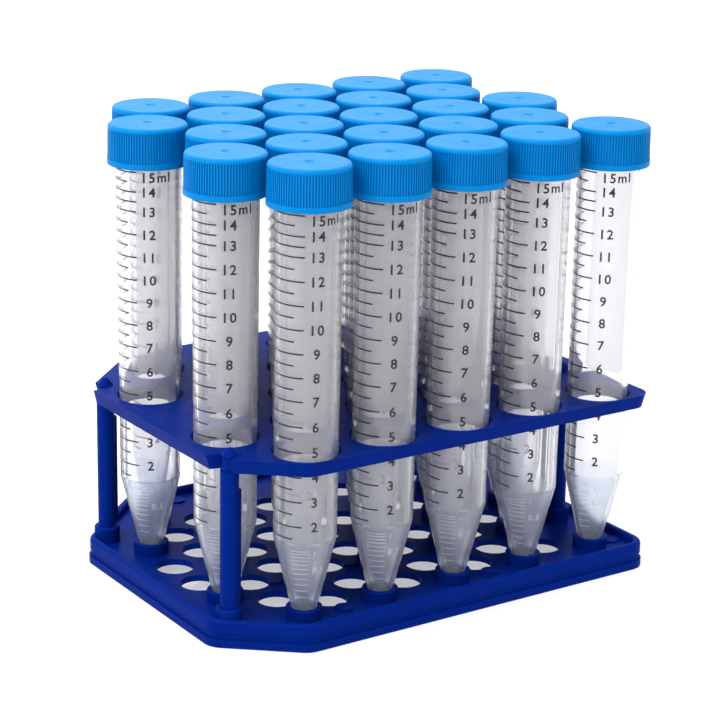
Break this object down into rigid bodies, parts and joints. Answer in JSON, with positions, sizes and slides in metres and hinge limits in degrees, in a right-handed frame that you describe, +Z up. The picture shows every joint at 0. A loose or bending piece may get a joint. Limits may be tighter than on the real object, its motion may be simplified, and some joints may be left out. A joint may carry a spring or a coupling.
{
  "type": "centrifuge tube rack",
  "caption": "Two-tier lab rack holding a staggered set of conical screw-cap centrifuge tubes that lift out, with ribbed caps that unscrew.",
  "frame": {"origin": "centre of the rack's footprint, on the surface it stands on", "axes": "+X along the rows of tubes, away from the cut corners; +Y from the front row to the back row; +Z up along the tubes"},
  "size_m": [0.132, 0.106, 0.1245],
  "materials": {
    "rack_plastic": "satin",
    "tube_plastic": "clear, lightly hazed",
    "cap_plastic": "semi-gloss",
    "seal_silicone": "matte"
  },
  "bodies": {
    "rack": {"base_tray": "rack_plastic", "upper_plate": "rack_plastic", "post_left_front": "rack_plastic", "post_left_back": "rack_plastic", "post_right_front": "rack_plastic", "post_right_back": "rack_plastic"},
    "tube_a1": {"tube_a1": "tube_plastic"},
    "seal_a1": {"seal_a1": "seal_silicone"},
    "cap_a1": {"cap_a1": "cap_plastic"},
    "tube_a2": {"tube_a2": "tube_plastic"},
    "seal_a2": {"seal_a2": "seal_silicone"},
    "cap_a2": {"cap_a2": "cap_plastic"},
    "tube_a3": {"tube_a3": "tube_plastic"},
    "seal_a3": {"seal_a3": "seal_silicone"},
    "cap_a3": {"cap_a3": "cap_plastic"},
    "tube_a4": {"tube_a4": "tube_plastic"},
    "seal_a4": {"seal_a4": "seal_silicone"},
    "cap_a4": {"cap_a4": "cap_plastic"},
    "tube_a5": {"tube_a5": "tube_plastic"},
    "cap_a5": {"cap_a5": "cap_plastic"},
    "tube_b1": {"tube_b1": "tube_plastic"},
    "cap_b1": {"cap_b1": "cap_plastic"},
    "tube_b2": {"tube_b2": "tube_plastic"},
    "cap_b2": {"cap_b2": "cap_plastic"},
    "tube_b3": {"tube_b3": "tube_plastic"},
    "cap_b3": {"cap_b3": "cap_plastic"},
    "tube_b4": {"tube_b4": "tube_plastic"},
    "cap_b4": {"cap_b4": "cap_plastic"},
    "tube_b5": {"tube_b5": "tube_plastic"},
    "cap_b5": {"cap_b5": "cap_plastic"},
    "tube_c1": {"tube_c1": "tube_plastic"},
    "cap_c1": {"cap_c1": "cap_plastic"},
    "tube_c2": {"tube_c2": "tube_plastic"},
    "cap_c2": {"cap_c2": "cap_plastic"},
    "tube_c3": {"tube_c3": "tube_plastic"},
    "cap_c3": {"cap_c3": "cap_plastic"},
    "tube_c4": {"tube_c4": "tube_plastic"},
    "cap_c4": {"cap_c4": "cap_plastic"},
    "tube_c5": {"tube_c5": "tube_plastic"},
    "cap_c5": {"cap_c5": "cap_plastic"},
    "tube_d1": {"tube_d1": "tube_plastic"},
    "cap_d1": {"cap_d1": "cap_plastic"},
    "tube_d2": {"tube_d2": "tube_plastic"},
    "cap_d2": {"cap_d2": "cap_plastic"},
    "tube_d3": {"tube_d3": "tube_plastic"},
    "cap_d3": {"cap_d3": "cap_plastic"},
    "tube_d4": {"tube_d4": "tube_plastic"},
    "cap_d4": {"cap_d4": "cap_plastic"},
    "tube_d5": {"tube_d5": "tube_plastic"},
    "cap_d5": {"cap_d5": "cap_plastic"},
    "tube_e1": {"tube_e1": "tube_plastic"},
    "cap_e1": {"cap_e1": "cap_plastic"},
    "tube_e2": {"tube_e2": "tube_plastic"},
    "cap_e2": {"cap_e2": "cap_plastic"},
    "tube_e3": {"tube_e3": "tube_plastic"},
    "cap_e3": {"cap_e3": "cap_plastic"},
    "tube_e4": {"tube_e4": "tube_plastic"},
    "cap_e4": {"cap_e4": "cap_plastic"},
    "tube_e5": {"tube_e5": "tube_plastic"},
    "cap_e5": {"cap_e5": "cap_plastic"}
  },
  "joints": [
    {"name": "lift_a1", "type": "slide", "parent": "rack", "child": "tube_a1", "axis": [0, 0, 1], "range_m": [0, 0.05]},
    {"name": "rise_a1", "type": "slide", "parent": "tube_a1", "child": "seal_a1", "axis": [0, 0, 1], "range_m": [0, 0.012]},
    {"name": "turn_a1", "type": "hinge", "parent": "seal_a1", "child": "cap_a1", "pos_m": [-0.0413, -0.0421, 0.1139], "axis": [0, 0, 1], "range_deg": [0, 1441]},
    {"name": "lift_a2", "type": "slide", "parent": "rack", "child": "tube_a2", "axis": [0, 0, 1], "range_m": [0, 0.05]},
    {"name": "rise_a2", "type": "slide", "parent": "tube_a2", "child": "seal_a2", "axis": [0, 0, 1], "range_m": [0, 0.012]},
    {"name": "turn_a2", "type": "hinge", "parent": "seal_a2", "child": "cap_a2", "pos_m": [-0.0177, -0.0421, 0.1139], "axis": [0, 0, 1], "range_deg": [0, 1441]},
    {"name": "lift_a3", "type": "slide", "parent": "rack", "child": "tube_a3", "axis": [0, 0, 1], "range_m": [0, 0.05]},
    {"name": "rise_a3", "type": "slide", "parent": "tube_a3", "child": "seal_a3", "axis": [0, 0, 1], "range_m": [0, 0.012]},
    {"name": "turn_a3", "type": "hinge", "parent": "seal_a3", "child": "cap_a3", "pos_m": [0.0059, -0.0421, 0.1139], "axis": [0, 0, 1], "range_deg": [0, 1441]},
    {"name": "lift_a4", "type": "slide", "parent": "rack", "child": "tube_a4", "axis": [0, 0, 1], "range_m": [0, 0.05]},
    {"name": "rise_a4", "type": "slide", "parent": "tube_a4", "child": "seal_a4", "axis": [0, 0, 1], "range_m": [0, 0.012]},
    {"name": "turn_a4", "type": "hinge", "parent": "seal_a4", "child": "cap_a4", "pos_m": [0.0295, -0.0421, 0.1139], "axis": [0, 0, 1], "range_deg": [0, 1441]},
    {"name": "lift_a5", "type": "slide", "parent": "rack", "child": "tube_a5", "axis": [0, 0, 1], "range_m": [0, 0.05]},
    {"name": "loosen_a5", "type": "hinge", "parent": "tube_a5", "child": "cap_a5", "pos_m": [0.0531, -0.0421, 0.1139], "axis": [0, 0, 1], "range_deg": [0, 120]},
    {"name": "lift_b1", "type": "slide", "parent": "rack", "child": "tube_b1", "axis": [0, 0, 1], "range_m": [0, 0.05]},
    {"name": "loosen_b1", "type": "hinge", "parent": "tube_b1", "child": "cap_b1", "pos_m": [-0.0531, -0.0223, 0.1139], "axis": [0, 0, 1], "range_deg": [0, 120]},
    {"name": "lift_b2", "type": "slide", "parent": "rack", "child": "tube_b2", "axis": [0, 0, 1], "range_m": [0, 0.05]},
    {"name": "loosen_b2", "type": "hinge", "parent": "tube_b2", "child": "cap_b2", "pos_m": [-0.0295, -0.0223, 0.1139], "axis": [0, 0, 1], "range_deg": [0, 120]},
    {"name": "lift_b3", "type": "slide", "parent": "rack", "child": "tube_b3", "axis": [0, 0, 1], "range_m": [0, 0.05]},
    {"name": "loosen_b3", "type": "hinge", "parent": "tube_b3", "child": "cap_b3", "pos_m": [-0.0059, -0.0223, 0.1139], "axis": [0, 0, 1], "range_deg": [0, 120]},
    {"name": "lift_b4", "type": "slide", "parent": "rack", "child": "tube_b4", "axis": [0, 0, 1], "range_m": [0, 0.05]},
    {"name": "loosen_b4", "type": "hinge", "parent": "tube_b4", "child": "cap_b4", "pos_m": [0.0177, -0.0223, 0.1139], "axis": [0, 0, 1], "range_deg": [0, 120]},
    {"name": "lift_b5", "type": "slide", "parent": "rack", "child": "tube_b5", "axis": [0, 0, 1], "range_m": [0, 0.05]},
    {"name": "loosen_b5", "type": "hinge", "parent": "tube_b5", "child": "cap_b5", "pos_m": [0.0413, -0.0223, 0.1139], "axis": [0, 0, 1], "range_deg": [0, 120]},
    {"name": "lift_c1", "type": "slide", "parent": "rack", "child": "tube_c1", "axis": [0, 0, 1], "range_m": [0, 0.05]},
    {"name": "loosen_c1", "type": "hinge", "parent": "tube_c1", "child": "cap_c1", "pos_m": [-0.0413, -0.0025, 0.1139], "axis": [0, 0, 1], "range_deg": [0, 120]},
    {"name": "lift_c2", "type": "slide", "parent": "rack", "child": "tube_c2", "axis": [0, 0, 1], "range_m": [0, 0.05]},
    {"name": "loosen_c2", "type": "hinge", "parent": "tube_c2", "child": "cap_c2", "pos_m": [-0.0177, -0.0025, 0.1139], "axis": [0, 0, 1], "range_deg": [0, 120]},
    {"name": "lift_c3", "type": "slide", "parent": "rack", "child": "tube_c3", "axis": [0, 0, 1], "range_m": [0, 0.05]},
    {"name": "loosen_c3", "type": "hinge", "parent": "tube_c3", "child": "cap_c3", "pos_m": [0.0059, -0.0025, 0.1139], "axis": [0, 0, 1], "range_deg": [0, 120]},
    {"name": "lift_c4", "type": "slide", "parent": "rack", "child": "tube_c4", "axis": [0, 0, 1], "range_m": [0, 0.05]},
    {"name": "loosen_c4", "type": "hinge", "parent": "tube_c4", "child": "cap_c4", "pos_m": [0.0295, -0.0025, 0.1139], "axis": [0, 0, 1], "range_deg": [0, 120]},
    {"name": "lift_c5", "type": "slide", "parent": "rack", "child": "tube_c5", "axis": [0, 0, 1], "range_m": [0, 0.05]},
    {"name": "loosen_c5", "type": "hinge", "parent": "tube_c5", "child": "cap_c5", "pos_m": [0.0531, -0.0025, 0.1139], "axis": [0, 0, 1], "range_deg": [0, 120]},
    {"name": "lift_d1", "type": "slide", "parent": "rack", "child": "tube_d1", "axis": [0, 0, 1], "range_m": [0, 0.05]},
    {"name": "loosen_d1", "type": "hinge", "parent": "tube_d1", "child": "cap_d1", "pos_m": [-0.0531, 0.0173, 0.1139], "axis": [0, 0, 1], "range_deg": [0, 120]},
    {"name": "lift_d2", "type": "slide", "parent": "rack", "child": "tube_d2", "axis": [0, 0, 1], "range_m": [0, 0.05]},
    {"name": "loosen_d2", "type": "hinge", "parent": "tube_d2", "child": "cap_d2", "pos_m": [-0.0295, 0.0173, 0.1139], "axis": [0, 0, 1], "range_deg": [0, 120]},
    {"name": "lift_d3", "type": "slide", "parent": "rack", "child": "tube_d3", "axis": [0, 0, 1], "range_m": [0, 0.05]},
    {"name": "loosen_d3", "type": "hinge", "parent": "tube_d3", "child": "cap_d3", "pos_m": [-0.0059, 0.0173, 0.1139], "axis": [0, 0, 1], "range_deg": [0, 120]},
    {"name": "lift_d4", "type": "slide", "parent": "rack", "child": "tube_d4", "axis": [0, 0, 1], "range_m": [0, 0.05]},
    {"name": "loosen_d4", "type": "hinge", "parent": "tube_d4", "child": "cap_d4", "pos_m": [0.0177, 0.0173, 0.1139], "axis": [0, 0, 1], "range_deg": [0, 120]},
    {"name": "lift_d5", "type": "slide", "parent": "rack", "child": "tube_d5", "axis": [0, 0, 1], "range_m": [0, 0.05]},
    {"name": "loosen_d5", "type": "hinge", "parent": "tube_d5", "child": "cap_d5", "pos_m": [0.0413, 0.0173, 0.1139], "axis": [0, 0, 1], "range_deg": [0, 120]},
    {"name": "lift_e1", "type": "slide", "parent": "rack", "child": "tube_e1", "axis": [0, 0, 1], "range_m": [0, 0.05]},
    {"name": "loosen_e1", "type": "hinge", "parent": "tube_e1", "child": "cap_e1", "pos_m": [-0.0413, 0.0371, 0.1139], "axis": [0, 0, 1], "range_deg": [0, 120]},
    {"name": "lift_e2", "type": "slide", "parent": "rack", "child": "tube_e2", "axis": [0, 0, 1], "range_m": [0, 0.05]},
    {"name": "loosen_e2", "type": "hinge", "parent": "tube_e2", "child": "cap_e2", "pos_m": [-0.0177, 0.0371, 0.1139], "axis": [0, 0, 1], "range_deg": [0, 120]},
    {"name": "lift_e3", "type": "slide", "parent": "rack", "child": "tube_e3", "axis": [0, 0, 1], "range_m": [0, 0.05]},
    {"name": "loosen_e3", "type": "hinge", "parent": "tube_e3", "child": "cap_e3", "pos_m": [0.0059, 0.0371, 0.1139], "axis": [0, 0, 1], "range_deg": [0, 120]},
    {"name": "lift_e4", "type": "slide", "parent": "rack", "child": "tube_e4", "axis": [0, 0, 1], "range_m": [0, 0.05]},
    {"name": "loosen_e4", "type": "hinge", "parent": "tube_e4", "child": "cap_e4", "pos_m": [0.0295, 0.0371, 0.1139], "axis": [0, 0, 1], "range_deg": [0, 120]},
    {"name": "lift_e5", "type": "slide", "parent": "rack", "child": "tube_e5", "axis": [0, 0, 1], "range_m": [0, 0.05]},
    {"name": "loosen_e5", "type": "hinge", "parent": "tube_e5", "child": "cap_e5", "pos_m": [0.0531, 0.0371, 0.1139], "axis": [0, 0, 1], "range_deg": [0, 120]}
  ],
  "couplings": [
    {"joint": "turn_a1", "follows": "rise_a1", "rad_per_m": 2094.4},
    {"joint": "turn_a2", "follows": "rise_a2", "rad_per_m": 2094.4},
    {"joint": "turn_a3", "follows": "rise_a3", "rad_per_m": 2094.4},
    {"joint": "turn_a4", "follows": "rise_a4", "rad_per_m": 2094.4}
  ]
}
